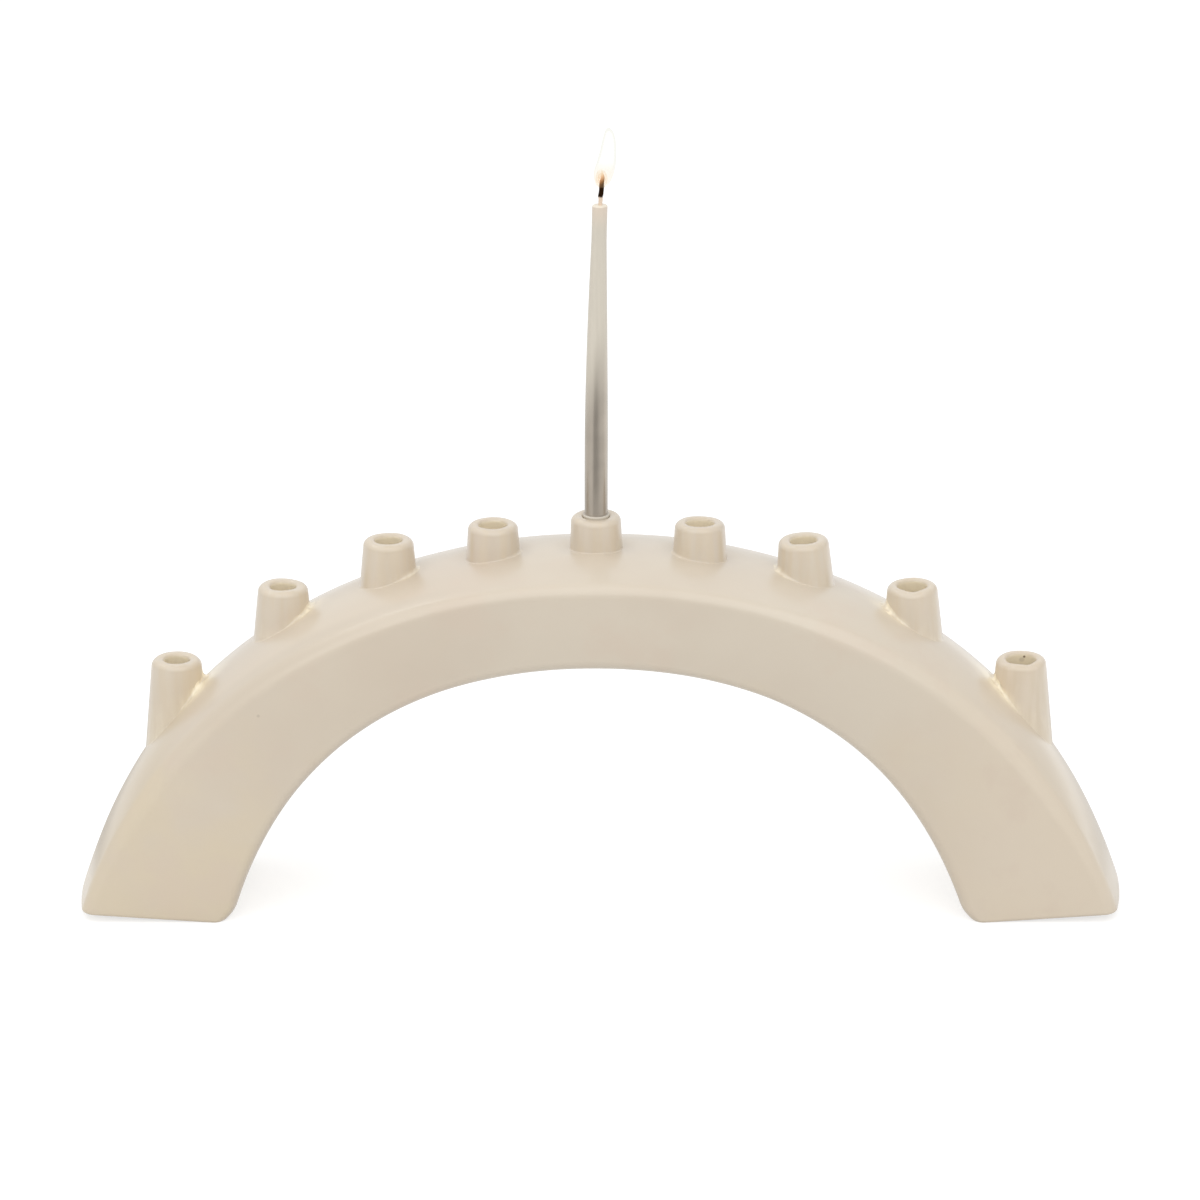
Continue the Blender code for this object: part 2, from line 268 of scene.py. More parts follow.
class Value:
    """An output that varies over a surface: sums on it add Math nodes."""

    def __init__(self, finish, socket):
        self.finish = finish
        self.socket = socket

    def __add__(self, other):
        return self.finish.maths("ADD", self, other)

    def __sub__(self, other):
        return self.finish.maths("SUBTRACT", self, other)

    def __rsub__(self, other):
        return self.finish.maths("SUBTRACT", other, self)

    def __mul__(self, other):
        return self.finish.maths("MULTIPLY", self, other)

    def __truediv__(self, other):
        return self.finish.maths("DIVIDE", self, other)

    def __abs__(self):
        return self.finish.maths("ABSOLUTE", self)

    __radd__ = __add__
    __rmul__ = __mul__


class Finish:
    """The shader nodes of a material, or of the world, under way."""

    def __init__(self, owner):
        owner.use_nodes = True
        self.owner = owner
        self.tree = owner.node_tree

    def node(self, kind, settings=None, inputs=None, output=0):
        """Add a node: its settings first, then its inputs. Returns one of its outputs."""
        made = self.tree.nodes.new(kind)
        for name, value in (settings or {}).items():
            if name == "stops":
                self._set_stops(made.color_ramp, value)
            else:
                setattr(made, name, value)
        for name, value in (inputs or {}).items():
            self.feed(made.inputs[name], value)
        return Value(self, made.outputs[output])

    def _set_stops(self, ramp, stops):
        while len(ramp.elements) < len(stops):
            ramp.elements.new(1.0)
        for element, (place, colour) in zip(ramp.elements, stops):
            element.position = place
            element.color = (*colour, 1.0)

    def feed(self, socket, value):
        """Link a Value to a socket, or set a plain number or colour on it."""
        if isinstance(value, Value):
            self.tree.links.new(value.socket, socket)
        elif hasattr(value, "__len__") and socket.type == "RGBA":
            socket.default_value = (*value[:3], 1.0)
        else:
            socket.default_value = value

    def set(self, **sockets):
        """Feed the sockets of the Principled shader, named with underscores for spaces."""
        shader = self.tree.nodes["Principled BSDF"]
        for name, value in sockets.items():
            self.feed(shader.inputs[name.replace("_", " ")], value)

    def maths(self, operation, *values):
        """A sum on one or two numbers."""
        return self.node("ShaderNodeMath", {"operation": operation}, dict(enumerate(values)))

    def place(self):
        """The place on the object, in metres."""
        return self.node("ShaderNodeTexCoord", output="Object")

    def part(self, vector, axis):
        """One coordinate of a vector: "X", "Y" or "Z"."""
        return self.node("ShaderNodeSeparateXYZ", None, {0: vector}, axis)

    def distance(self, vector, point):
        """How far a place is from a fixed point."""
        return self.node("ShaderNodeVectorMath", {"operation": "DISTANCE"},
                         {0: vector, 1: point}, "Value")

    def stretch(self, vector, scale):
        """A vector stretched along each axis."""
        return self.node("ShaderNodeMapping", {"vector_type": "POINT"},
                         {"Vector": vector, "Scale": scale})

    def mark(self, name):
        """A number that was noted on the vertices."""
        return self.node("ShaderNodeAttribute", {"attribute_name": name}, output="Fac")

    def ray(self, kind):
        """1 for one kind of ray, such as "Camera" or "Glossy", and 0 for the others."""
        return self.node("ShaderNodeLightPath", output="Is %s Ray" % kind)

    def clouds(self, vector, scale, detail=2.0, roughness=0.5):
        """Soft noise from 0 to 1."""
        return self.node("ShaderNodeTexNoise", None,
                         {"Vector": vector, "Scale": scale, "Detail": detail,
                          "Roughness": roughness})

    def ease(self, value, start, end, low=0.0, high=1.0):
        """Go smoothly from low to high while the value goes from start to end."""
        return self.node("ShaderNodeMapRange",
                         {"interpolation_type": "SMOOTHSTEP", "clamp": True},
                         {"Value": value, "From Min": start, "From Max": end,
                          "To Min": low, "To Max": high})

    def band(self, value, start, full, still_full, end):
        """Go smoothly from 0 at start to 1 at full, and back from still_full to the end."""
        return self.ease(value, start, full) * self.ease(value, end, still_full)

    def blend(self, amount, first, second):
        """Mix two colours."""
        return self.node("ShaderNodeMix", {"data_type": "RGBA"},
                         {0: amount, 6: first, 7: second}, 2)

    def bump(self, height, strength, distance, under=None):
        """Tilt the surface by a height, over another bump if there is one."""
        inputs = {"Height": height, "Strength": strength, "Distance": distance}
        if under:
            inputs["Normal"] = under
        return self.node("ShaderNodeBump", None, inputs)


def new_finish(name):
    """A new material to work on."""
    return Finish(bpy.data.materials.new(name))


def tinted(colour, shares):
    """A colour whose red, green and blue are each changed by a share."""
    return [channel * share for channel, share in zip(colour, shares)]


# Shapes

def finish_mesh(name, bm, material):
    """Turn a bmesh into a piece with smooth shading and its material."""
    bmesh.ops.recalc_face_normals(bm, faces=bm.faces)
    mesh = bpy.data.meshes.new(name)
    bm.to_mesh(mesh)
    bm.free()
    mesh.shade_smooth()
    mesh.set_sharp_from_angle(angle=SHARP_ANGLE)
    mesh.materials.append(material)
    piece = bpy.data.objects.new(name, mesh)
    bpy.context.scene.collection.objects.link(piece)
    return piece


def only(kind, items):
    """Those of an operator's results that are vertices, edges or faces."""
    return [item for item in items if isinstance(item, kind)]


def turn_profile(bm, points, sides):
    """Spin a profile once round the Z axis."""
    verts = [bm.verts.new(point) for point in points]
    edges = [bm.edges.new(pair) for pair in zip(verts, verts[1:])]
    bmesh.ops.spin(bm, geom=verts + edges, cent=(0, 0, 0), axis=(0, 0, 1), angle=FULL_TURN,
                   steps=sides, use_merge=True)


def extrude_tip(bm, tip, first):
    """Extrude the face at the end of a bar. Only the first face stays, as its other end."""
    made = bmesh.ops.extrude_face_region(bm, geom=[tip])["geom"]
    if not first:
        bm.faces.remove(tip)
    return only(BMFace, made)[0]


def round_edges(bm, edges, radius, segments):
    """Round off edges with an arc."""
    bmesh.ops.bevel(bm, geom=edges, offset=radius, offset_type="OFFSET", affect="EDGES",
                    segments=segments, profile=0.5, material=-1, clamp_overlap=True)


def round_ring(bm, height, radius, rounding, segments):
    """Round the edge that runs round a turned piece at a height and a radius."""
    edges = [edge for edge in bm.edges
             if all(abs(vert.co.z - height) < SAME_PLACE
                    and abs(vert.co.xy.length - radius) < SAME_PLACE for vert in edge.verts)]
    round_edges(bm, edges, rounding, segments)


STEEP_FROM = 0.18         # from the middle, where the crest falls away steeply
BROAD_WAVES = 14.0        # to the metre, in hand-pressed clay
SMALL_WAVES = 47.0        # to the metre, on the broad ones
SMALL_WAVE_SHARE = 0.35   # of their height


def share_of(value, start, end):
    """Go smoothly from 0 to 1 while the value goes from start to end."""
    share = min(max((value - start) / (end - start), 0.0), 1.0)
    return share * share * (3 - 2 * share)


def steepness_at(across):
    """0 on the crown of the arch, rising to 1 where the crest is steep."""
    return min(abs(across) / STEEP_FROM, 1.0)


def sway_of(place, size):
    """How far hand-pressed clay wanders at a place."""
    broad = noise.noise(place * BROAD_WAVES)
    small = noise.noise(place * SMALL_WAVES + Vector((3.0, 7.0, 1.0)))
    return size * (broad + SMALL_WAVE_SHARE * small)


class ArchLine:
    """One half of an arch line: from the crown, level, down to a foot that leans inwards."""

    def __init__(self, height, top_handle, half_span, foot_handle, foot_lean):
        self.crown = Vector((0.0, height))
        self.crown_pull = Vector((top_handle, height))
        self.foot = Vector((half_span, 0.0))
        self.foot_pull = self.foot + foot_handle * Vector((-math.sin(foot_lean),
                                                           math.cos(foot_lean)))

    def at(self, share):
        """The point (x, z) at a share of the way from the crown to the foot."""
        rest = 1.0 - share
        return (rest ** 3 * self.crown + 3 * rest ** 2 * share * self.crown_pull
                + 3 * rest * share ** 2 * self.foot_pull + share ** 3 * self.foot)

    def share_at_height(self, height):
        """The share at which the line has come down to a height, found by halving."""
        low, high = 0.0, 1.2
        for _ in range(50):
            middle = (low + high) / 2
            if self.at(middle).y > height:
                low = middle
            else:
                high = middle
        return low


class ArchLines:
    """The crest and the underside together, from the left foot to the right foot."""

    def __init__(self, sizes):
        self.crest = ArchLine(sizes.crest_height, sizes.crest_top_handle,
                              sizes.crest_half_span, sizes.crest_foot_handle, sizes.foot_lean)
        self.opening = ArchLine(sizes.opening_height, sizes.opening_top_handle,
                                sizes.opening_half_span, sizes.opening_foot_handle,
                                sizes.foot_lean)
        self.crest_end = self.crest.share_at_height(sizes.foot_curl)
        self.opening_end = self.opening.share_at_height(-sizes.grind_depth)

    def frames_at(self, way):
        """Where the top and the underside of a cross-section stand, as two matrices.

        The way runs from -1 at the left foot to 1 at the right foot.
        """
        side = -1.0 if way < 0 else 1.0
        top = self.crest.at(abs(way) * self.crest_end)
        under = self.opening.at(abs(way) * self.opening_end)
        up = top - under
        tilt = Matrix.Rotation(math.atan2(side * up.x, up.y), 4, "Y")
        return [Matrix.Translation((side * point.x, 0.0, point.y)) @ tilt
                for point in (top, under)]


# The arch

ARCH_STEPS = 320
TOP_EDGE_STEPS = 9
CROWN_STEPS = 26

# The top has the legs' cross-section at the first distance from the middle and the level
# crown's at the second, and the legs' at the first height and the feet's at the second
LEG_TO_CROWN = (0.120, 0.060)
LEG_TO_FOOT = (0.070, 0.012)
FOOT_DROP = 0.0008        # how much lower the feet's ridge lies
GROOVE_PLACE = 0.55       # of the tool's trace, on the way round an edge of the top
GROOVE_WIDTH = 0.20       # of that way
GROOVE_WAVES = 30.0       # to the metre, in how hard the tool was pressed
HEEL_HEIGHT = 0.0075      # of the rounding at the inner corner of a foot
HEEL_ROUNDING = 0.0030
HEEL_REACH = (0.185, 0.165)   # from the middle: none at the first, all of it at the second
DENT_FULL = 0.026         # cups up to here from the middle have the full dent beside them
DENT_END = 0.091          # and cups from here on have none
DENT_REACH = 0.005        # from the cup
POOL_AND_HIGHLIGHT_REACH = 0.007        # of the glaze that has run together and its painted highlight, from the cup
VENT_DEPTH = 0.012


def spin_top(bm, half, rise, rounding, drop):
    """The top of a cross-section, from front to back: an edge, the crown and an edge."""
    crown = (half * half + rise * rise) / (2 * rise)
    reach = half - rounding
    slope = math.asin(reach / (crown - rounding))
    height = (crown - rounding) * math.cos(slope) - crown
    tip = bm.verts.new((0, -half, height - drop))
    for middle, turn, steps in (((0, -reach, height - drop), QUARTER - slope, TOP_EDGE_STEPS),
                                ((0, 0, -crown - drop), 2 * slope, CROWN_STEPS),
                                ((0, reach, height - drop), QUARTER - slope, TOP_EDGE_STEPS)):
        made = bmesh.ops.spin(bm, geom=[tip], cent=middle, axis=(-1, 0, 0), angle=turn,
                              steps=steps)
        tip = only(BMVert, made["geom_last"])[0]
    return sorted(bm.verts, key=lambda vert: vert.co.y)


def section_face(bm, sizes, top_mark):
    """The cross-section as one upright face, whose ridge is at height 0.

    The vertices of the top are numbered, because they follow another line than the rest.
    """
    half = sizes.depth / 2
    ridge = spin_top(bm, half, sizes.crown_rise, sizes.leg_edge_radius, 0.0)
    under_front = bm.verts.new((0.0, -half, -sizes.crest_height))
    under_back = bm.verts.new((0.0, half, -sizes.crest_height))
    bm.edges.new((ridge[0], under_front))
    bm.edges.new((under_front, under_back))
    bm.edges.new((under_back, ridge[-1]))
    bmesh.ops.contextual_create(bm, geom=bm.edges[:])
    bmesh.ops.bevel(bm, geom=[under_front, under_back], offset=sizes.under_edge_radius,
                    affect="VERTICES", offset_type="OFFSET", segments=6, profile=0.5,
                    material=-1)
    for vert in bm.verts:
        vert[top_mark] = ridge.index(vert) + 1 if vert in ridge else 0
    return bm.faces[:][0]


# The glaze's tints, as shares of the red, green and blue of its plain colour
THIN_GLAZE = (1.03, 1.035, 1.04)
THICK_GLAZE = (0.975, 0.955, 0.95)
LEG_GLAZE = (1.04, 1.01, 0.91)
RIGHT_GLAZE = (1.095, 1.075, 1.055)
LEFT_GLAZE = (1.06, 1.04, 1.01)
ROSY_GLAZE = (1.02, 0.965, 0.955)
# Painted shade: a warmer, darker tint that dims the pale sheen on the outer ends of the legs
END_PAINTED_SHADE = (0.98, 0.94, 0.855)
# Painted shade that dims the highlight along the front edge of the top on the left
SHOULDER_PAINTED_SHADE = (0.95, 0.935, 0.925)
TURNED_GLAZE = (1.02, 0.985, 0.92)

# Small flaws in the glaze: whose, where from the middle of its top, how wide and how strong
SPOTS = (
    ("cup_right_4", Vector((0.0002, 0.0060, -0.0017)), 0.0008, 0.85),
    ("cup_right_4", Vector((-0.0007, 0.0062, -0.0032)), 0.0016, 0.20),
    ("arch_body", Vector((-0.1446, -0.0360, 0.0973 - ARCH_HIGH.z)), 0.0009, 0.18),
)
SPOT_COLOUR = (0.10, 0.05, 0.02)


def make_glaze(settings):
    """Satin cream glaze: cloudy, with a few specks, and painted light on its thick seams and
    bores.
    """
    finish = new_finish("cream_glaze_finish")
    place = finish.place()
    mottle = finish.clouds(place, 120.0, 3.0, 0.6)
    turned = finish.mark("cup_wall")
    colour = drift_and_painted_shade(finish, place, settings.glaze_colour, turned)

    pool = finish.mark("glaze_pool")
    # Seams: glaze that has run together, which also carries the painted highlight of the pool
    # colour
    seam = finish.ease(pool + (mottle - 0.5) * 0.30, 0.05, 0.65)
    # Bores: thick glaze inside the cups, painted lighter as painted light in their shade
    bore = finish.ease(pool, 0.0, 0.6 * IN_BORE)
    colour = finish.blend(seam, colour, settings.pool_and_highlight_colour)
    colour = finish.blend(bore, colour, settings.bore_glaze_and_painted_light)
    rings = finish.clouds(finish.stretch(place, (1.0, 1.0, 0.10)), 260.0, 2.0, 0.6)
    colour = finish.blend(finish.ease(rings, 0.35, 0.65) * turned * 0.7, colour,
                          tinted(settings.glaze_colour, TURNED_GLAZE))
    for node, offset, size, strength in SPOTS:
        low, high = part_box(node)
        middle = Vector(((low.x + high.x) / 2, (low.y + high.y) / 2, high.z)) + offset
        away = finish.distance(place, middle) + (mottle - 0.5) * size
        spot = finish.ease(away, size, size * 0.4, 0.0, strength)
        colour = finish.blend(spot, colour, SPOT_COLOUR)

    waves = finish.bump(finish.clouds(place, 42.0), 0.35, 0.0006)
    grain = finish.bump(mottle, 0.10, 0.0002, waves)
    finish.set(Base_Color=colour, Normal=grain,
               Roughness=mottle * 0.10 + (settings.glaze_roughness - 0.05))
    finish.set(IOR=1.5, Coat_Weight=0.60, Coat_Roughness=0.22)
    return finish.owner


def drift_and_painted_shade(finish, place, plain, turned):
    """The even glaze and how its colour drifts over the arch, with painted shade on the left of
    the top's front edge and on the legs' outer ends.
    """
    across, along, height = [finish.part(place, axis) for axis in "XYZ"]
    cloud = finish.clouds(place, 11.0, 3.0, 0.55)
    drift = finish.clouds(place, 17.0, 3.0, 0.6)
    blush = finish.clouds(place, 26.0, 4.0, 0.65)
    legs = finish.ease(height + (drift - 0.5) * 0.35, 0.10, 0.0)
    # Painted shade on the outer ends of the legs, behind the front face and off the cups,
    # dimming their pale sheen; half as much on the right
    ends = finish.ease(across, -0.165, -0.200) + finish.ease(across, 0.170, 0.205, 0.0, 0.5)
    # Painted shade: a darker band just behind the front face on the left, dimming the highlight
    # on the top's front edge
    shoulder = (finish.band(along, -0.0358, -0.0335, -0.028, -0.022)
                * finish.band(across, -0.20, -0.15, -0.08, -0.04))
    colour = tinted(plain, THIN_GLAZE)
    for amount, tint in (
            (finish.ease(cloud, 0.35, 0.68), THICK_GLAZE),
            (legs * finish.ease(across, 0.12, 0.02, 0.45, 1.0), LEG_GLAZE),
            (finish.ease(across, 0.11, 0.19, 0.0, 0.8), RIGHT_GLAZE),
            (finish.ease(across, -0.04, -0.10, 0.0, 0.3), LEFT_GLAZE),
            (finish.ease(blush, 0.50, 0.66, 0.0, 0.4), ROSY_GLAZE),
            (ends * finish.ease(along, -0.035, -0.027) * (1 - turned), END_PAINTED_SHADE),
            (shoulder * 0.8, SHOULDER_PAINTED_SHADE)):
        colour = finish.blend(amount, colour, tinted(plain, tint))
    return colour


class MENORAH_OT_arch(bpy.types.Operator):
    """Make the glazed skin of the arch"""

    bl_idname = "menorah.arch"
    bl_label = "Glazed Arch"

    def execute(self, context):
        sizes = context.scene.menorah_arch
        lines = ArchLines(sizes)
        bm = bmesh.new()
        top_mark = bm.verts.layers.int.new("top_of_section")
        way_mark = bm.verts.layers.float.new("way_along")
        tip = section_face(bm, sizes, top_mark)
        before = (Matrix(), Matrix.Translation((0.0, 0.0, -sizes.crest_height)))
        for step in range(ARCH_STEPS + 1):
            if step:
                tip = extrude_tip(bm, tip, first=step == 1)
            way = 2.0 * step / ARCH_STEPS - 1.0
            after = lines.frames_at(way)
            self.carry(bm, tip, top_mark, before, after)
            for vert in tip.verts:
                vert[way_mark] = way
            before = after
        self.shape_top(bm, sizes, lines, top_mark, way_mark)
        self.round_soles(bm, sizes)
        self.grind_soles(bm)
        bmesh.ops.recalc_face_normals(bm, faces=bm.faces)
        self.round_inner_heels(bm)
        self.sway(bm, sizes)
        self.press_cups(bm, sizes)
        piece = finish_mesh("glazed_arch", bm, make_glaze(sizes))
        self.open_vents(piece, sizes)
        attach(piece, "menorah")
        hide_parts("arch_body")
        return {"FINISHED"}

    def carry(self, bm, tip, top_mark, before, after):
        """Carry the top of a cross-section along the crest and the rest along the opening."""
        top_move, under_move = [new @ old.inverted() for old, new in zip(before, after)]
        tops = [vert for vert in tip.verts if vert[top_mark]]
        rest = [vert for vert in tip.verts if not vert[top_mark]]
        bmesh.ops.transform(bm, matrix=top_move, verts=tops)
        bmesh.ops.transform(bm, matrix=under_move, verts=rest)

    def shape_top(self, bm, sizes, lines, top_mark, way_mark):
        """Let the top's cross-section change from the crown over the legs to the feet."""
        half = sizes.depth / 2
        shapes = []
        for rise, rounding, drop in (
                (sizes.crown_rise - sizes.crown_flatness, sizes.top_edge_radius,
                 sizes.crown_flatness),
                (sizes.crown_rise, sizes.leg_edge_radius, 0.0),
                (sizes.foot_crown_rise, sizes.top_edge_radius, FOOT_DROP)):
            profile = bmesh.new()
            shapes.append([vert.co.copy() for vert in
                           spin_top(profile, half, rise, rounding, drop)])
            profile.free()
        level, leg, foot = shapes
        for vert in bm.verts:
            number = vert[top_mark] - 1
            if number < 0:
                continue
            top = lines.frames_at(vert[way_mark])[0]
            place = top.translation
            at_crown = share_of(abs(place.x), *LEG_TO_CROWN)
            at_foot = share_of(place.z, *LEG_TO_FOOT)
            shape = leg[number].lerp(level[number], at_crown).lerp(foot[number], at_foot)
            groove = self.groove_at(number, len(level), place) * sizes.leg_groove
            inward = Vector((0.0, -math.copysign(0.7, shape.y), -0.7))
            shape += inward * (groove * (1 - at_crown) * (1 - at_foot))
            vert.co = top @ shape

    def groove_at(self, number, count, place):
        """How deep the tool's trace is at a vertex of the top. It runs along both edges."""
        from_side = min(number, count - 1 - number) / TOP_EDGE_STEPS
        trace = math.exp(-((from_side - GROOVE_PLACE) / GROOVE_WIDTH) ** 2)
        return trace * (0.6 + 0.6 * noise.noise(place * GROOVE_WAVES))

    def round_soles(self, bm, sizes):
        """Round the edge of each sole."""
        soles = sorted(bm.faces, key=lambda face: len(face.verts))[-2:]
        edges = [edge for sole in soles for edge in sole.edges]
        round_edges(bm, edges, sizes.foot_edge_radius, 5)

    def grind_soles(self, bm):
        """Grind away what reaches below the floor, and close the flat left behind."""
        everything = bm.verts[:] + bm.edges[:] + bm.faces[:]
        ground = bmesh.ops.bisect_plane(bm, geom=everything, dist=SAME_PLACE,
                                        plane_co=(0, 0, 0), plane_no=(0, 0, 1),
                                        clear_inner=True)
        bmesh.ops.holes_fill(bm, edges=only(BMEdge, ground["geom_cut"]), sides=0)

    def round_inner_heels(self, bm):
        """Round the inner corner of each foot further, where the two hands held it."""
        for vert in bm.verts:
            low = max(1.0 - vert.co.z / HEEL_HEIGHT, 0.0)
            inner = share_of(abs(vert.co.x), *HEEL_REACH)
            vert.co.x += math.copysign(HEEL_ROUNDING * low * low * inner, vert.co.x)

    def sway(self, bm, sizes):
        """Let the surface wander a little, apart from the ground soles."""
        for vert in bm.verts:
            hold = min(max((vert.co.z - 0.001) / 0.02, 0.0), 1.0)
            vert.co -= vert.normal * (abs(sway_of(vert.co, sizes.sway)) * hold)

    def press_cups(self, bm, sizes):
        """Press the clay down beside each cup, and mark where glaze has run together, where a
        highlight is painted on too.
        """
        pool = bm.verts.layers.float.new("glaze_pool")
        for node in CUP_SHAPES:
            low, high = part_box(node)
            middle = ((low + high) / 2).xy
            foot = (high.y - low.y) / 2
            steepness = steepness_at(middle.x) ** 2
            pressed = (DENT_END - abs(middle.x)) / (DENT_END - DENT_FULL)
            depth = sizes.cup_dent * min(max(pressed, 0.0), 1.0)
            for vert in bm.verts:
                arm = vert.co.xy - middle
                away = max(arm.length - foot, 0.0)
                if vert.co.z < low.z - 2 * DENT_REACH or away > 4 * DENT_REACH:
                    continue
                sideways = arm.x / max(arm.length, SAME_PLACE)
                uphill = max(-math.copysign(sideways, middle.x * arm.x), 0.0)
                # Glaze that has run together uphill of a steep cup, marked also for its painted
                # highlight
                pooled = steepness * uphill * math.exp(-away / POOL_AND_HIGHLIGHT_REACH)
                vert[pool] = max(vert[pool], pooled)
                vert.co.z -= depth * sideways ** 2 * math.exp(-(away / DENT_REACH) ** 2)

    def open_vents(self, piece, sizes):
        """Cut the air hole into each sole, up into the clay."""
        middle = (sizes.crest_half_span + sizes.opening_half_span) / 2
        radius = sizes.vent_diameter / 2
        for side in (-1, 1):
            bm = bmesh.new()
            bmesh.ops.create_cone(bm, cap_ends=True, segments=32, depth=2 * VENT_DEPTH,
                                  radius1=radius, radius2=radius)
            bmesh.ops.translate(bm, verts=bm.verts, vec=(side * middle, 0, 0))
            cutter = finish_mesh("vent_cutter", bm, piece.data.materials[0])
            cut = piece.modifiers.new("vent", "BOOLEAN")
            cut.operation = "DIFFERENCE"
            cut.solver = "EXACT"
            cut.object = cutter
            shape = bpy.data.meshes.new_from_object(
                piece.evaluated_get(bpy.context.evaluated_depsgraph_get()))
            piece.modifiers.clear()
            piece.data = shape
            bpy.data.objects.remove(cutter)


# The cups

TURNED_LENGTH = 0.010     # of a cup, before its wall and bore are let down on to the arch
PALE_BORE_DEPTH = 0.0022  # of the bore below the lip, before its thick glaze begins
LIP_ZONE = (-0.0060, -0.0010)   # heights between which a lip's unevenness comes in
LIP_BLEND = 0.0015        # half the width over which the unevenness of the bore fades out
BORE_SINK = 0.0003        # how far a bore goes into the arch's skin
FILLET_STEPS = 8
FILLET_LUMPS = 260.0      # to the metre, in the glaze of the fillet
FILLET_EDGE_SINK = 0.00001    # how far the fillet's edge goes into the arch's skin
FILLET_RIM_SINK = 0.0004  # and the rim that is turned in from there
WALL_POOL_AND_HIGHLIGHT = 0.6           # how far the glaze has run together, with its painted highlight, at the foot of the wall, uphill
CREST_POOL_AND_HIGHLIGHT = 0.7          # and how much more on the crest
DOWNHILL_POOL_AND_HIGHLIGHT = 0.25      # and how far all round the outermost cups


class MENORAH_OT_cups(bpy.types.Operator):
    """Make the nine candle cups and the glaze fillets that join them to the arch"""

    bl_idname = "menorah.cups"
    bl_label = "Candle Cups"

    def execute(self, context):
        sizes = context.scene.menorah_cups
        arch = bpy.data.objects["glazed_arch"]
        shell = BVHTree.FromObject(arch, context.evaluated_depsgraph_get())
        for node in CUP_SHAPES:
            piece = self.make_cup(node, sizes, shell, arch.data.materials[0])
            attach(piece, "menorah")
            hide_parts(node)
        return {"FINISHED"}

    def lip_place(self, node, sizes):
        """The middle of a cup's lip, from the rim of the frame's own cup."""
        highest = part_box(node)[1].z
        rim = [vert.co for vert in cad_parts[node].data.vertices
               if vert.co.z > highest - 2 * sizes.lip_outer_radius]
        middle = sum(rim, Vector()) / len(rim)
        shape = CUP_SHAPES[node]
        tilt = math.radians(math.hypot(shape.right, shape.back))
        reach = sizes.lip_diameter / 2 - sizes.lip_outer_radius
        return Vector((middle.x, middle.y, highest + shape.rise - math.sin(tilt) * reach))

    def make_cup(self, node, sizes, shell, glaze):
        """One cup, turned on the wheel, leaned by hand and let down on to the arch."""
        shape = CUP_SHAPES[node]
        taper = math.tan(math.radians(shape.taper))
        lip = sizes.lip_diameter / 2
        bore = sizes.bore_diameter / 2 * shape.openness
        between = (lip + bore) / 2
        bm = bmesh.new()
        pool = bm.verts.layers.float.new("glaze_pool")
        wall = bm.verts.layers.float.new("cup_wall")
        turn_profile(bm, [(lip + TURNED_LENGTH * taper, 0, -TURNED_LENGTH), (lip, 0, 0),
                          (bore, 0, 0), (bore, 0, -PALE_BORE_DEPTH),
                          (bore, 0, -TURNED_LENGTH)], sizes.sides)
        # Below its pale top the bore takes thick glaze that is painted lighter: painted light
        # in its shade
        for vert in bm.verts:
            if (vert.co.z < SAME_PLACE - PALE_BORE_DEPTH
                    and vert.co.xy.length < bore + SAME_PLACE):
                vert[pool] = IN_BORE
        round_ring(bm, 0.0, lip, sizes.lip_outer_radius, 7)
        round_ring(bm, 0.0, bore, sizes.lip_inner_radius, 4)
        self.press_lip(bm, node, between, sizes.unevenness)
        place = (Matrix.Translation(self.lip_place(node, sizes))
                 @ Matrix.Rotation(math.radians(shape.right), 4, "Y")
                 @ Matrix.Rotation(-math.radians(shape.back), 4, "X"))
        bmesh.ops.transform(bm, matrix=place, verts=bm.verts)
        middle = place.translation
        axis = place.to_3x3() @ Vector((0, 0, 1))
        rims = [edge for edge in bm.edges if edge.is_boundary]
        outer = [edge for edge in rims
                 if self.outward_arm(edge.verts[0].co, middle, axis).length > between]
        inner = [edge for edge in rims if edge not in outer]
        self.drop_bore(bm, inner, axis, shell, pool)
        self.drop_wall(bm, outer, middle, axis, taper, sizes, shell, pool)
        for vert in bm.verts:
            vert[wall] = 1.0 if vert[pool] > IN_BORE / 2 else 0.0
        return finish_mesh("glazed_" + node, bm, glaze)

    def press_lip(self, bm, node, between, unevenness):
        """Leave the lip as uneven as hands do, with the dents that this cup has."""
        start = Vector((9.0 * list(CUP_SHAPES).index(node), 4.0, 2.0))
        for vert in bm.verts:
            outward = vert.co.xy.normalized()
            at_lip = share_of(vert.co.z, *LIP_ZONE)
            inner = share_of(vert.co.xy.length, between + LIP_BLEND, between - LIP_BLEND)
            on_circle = Vector((outward.x, outward.y, 0.0)) * 0.9 + start
            rise = noise.noise(on_circle) * 0.6 * at_lip
            spread = noise.noise(on_circle + Vector((0.0, 0.0, 5.0))) * inner * 0.9
            if node == "shamash_cup":
                spread = 0.0
            turn = math.degrees(math.atan2(outward.y, outward.x)) % 360.0
            for way, width, depth in LIP_DENTS.get(node, ()):
                off = (turn - way + 180.0) % 360.0 - 180.0
                vert.co.z -= depth * math.exp(-(off / width) ** 2) * at_lip
            vert.co.z += unevenness * rise
            vert.co.xy += outward * (unevenness * spread)

    def outward_arm(self, point, middle, axis):
        """From the cup's axis straight out to a point."""
        arm = point - middle
        return arm - axis * arm.dot(axis)

    def drop_bore(self, bm, rim, axis, shell, pool):
        """Take the bore down to the arch, whose crest is its floor, under pooled glaze that is
        painted light.
        """
        made = bmesh.ops.extrude_edge_only(bm, edges=rim)["geom"]
        for vert in only(BMVert, made):
            hit = shell.ray_cast(vert.co + axis * 0.01, -axis)[0]
            vert.co = hit - axis * BORE_SINK
            vert[pool] = IN_BORE

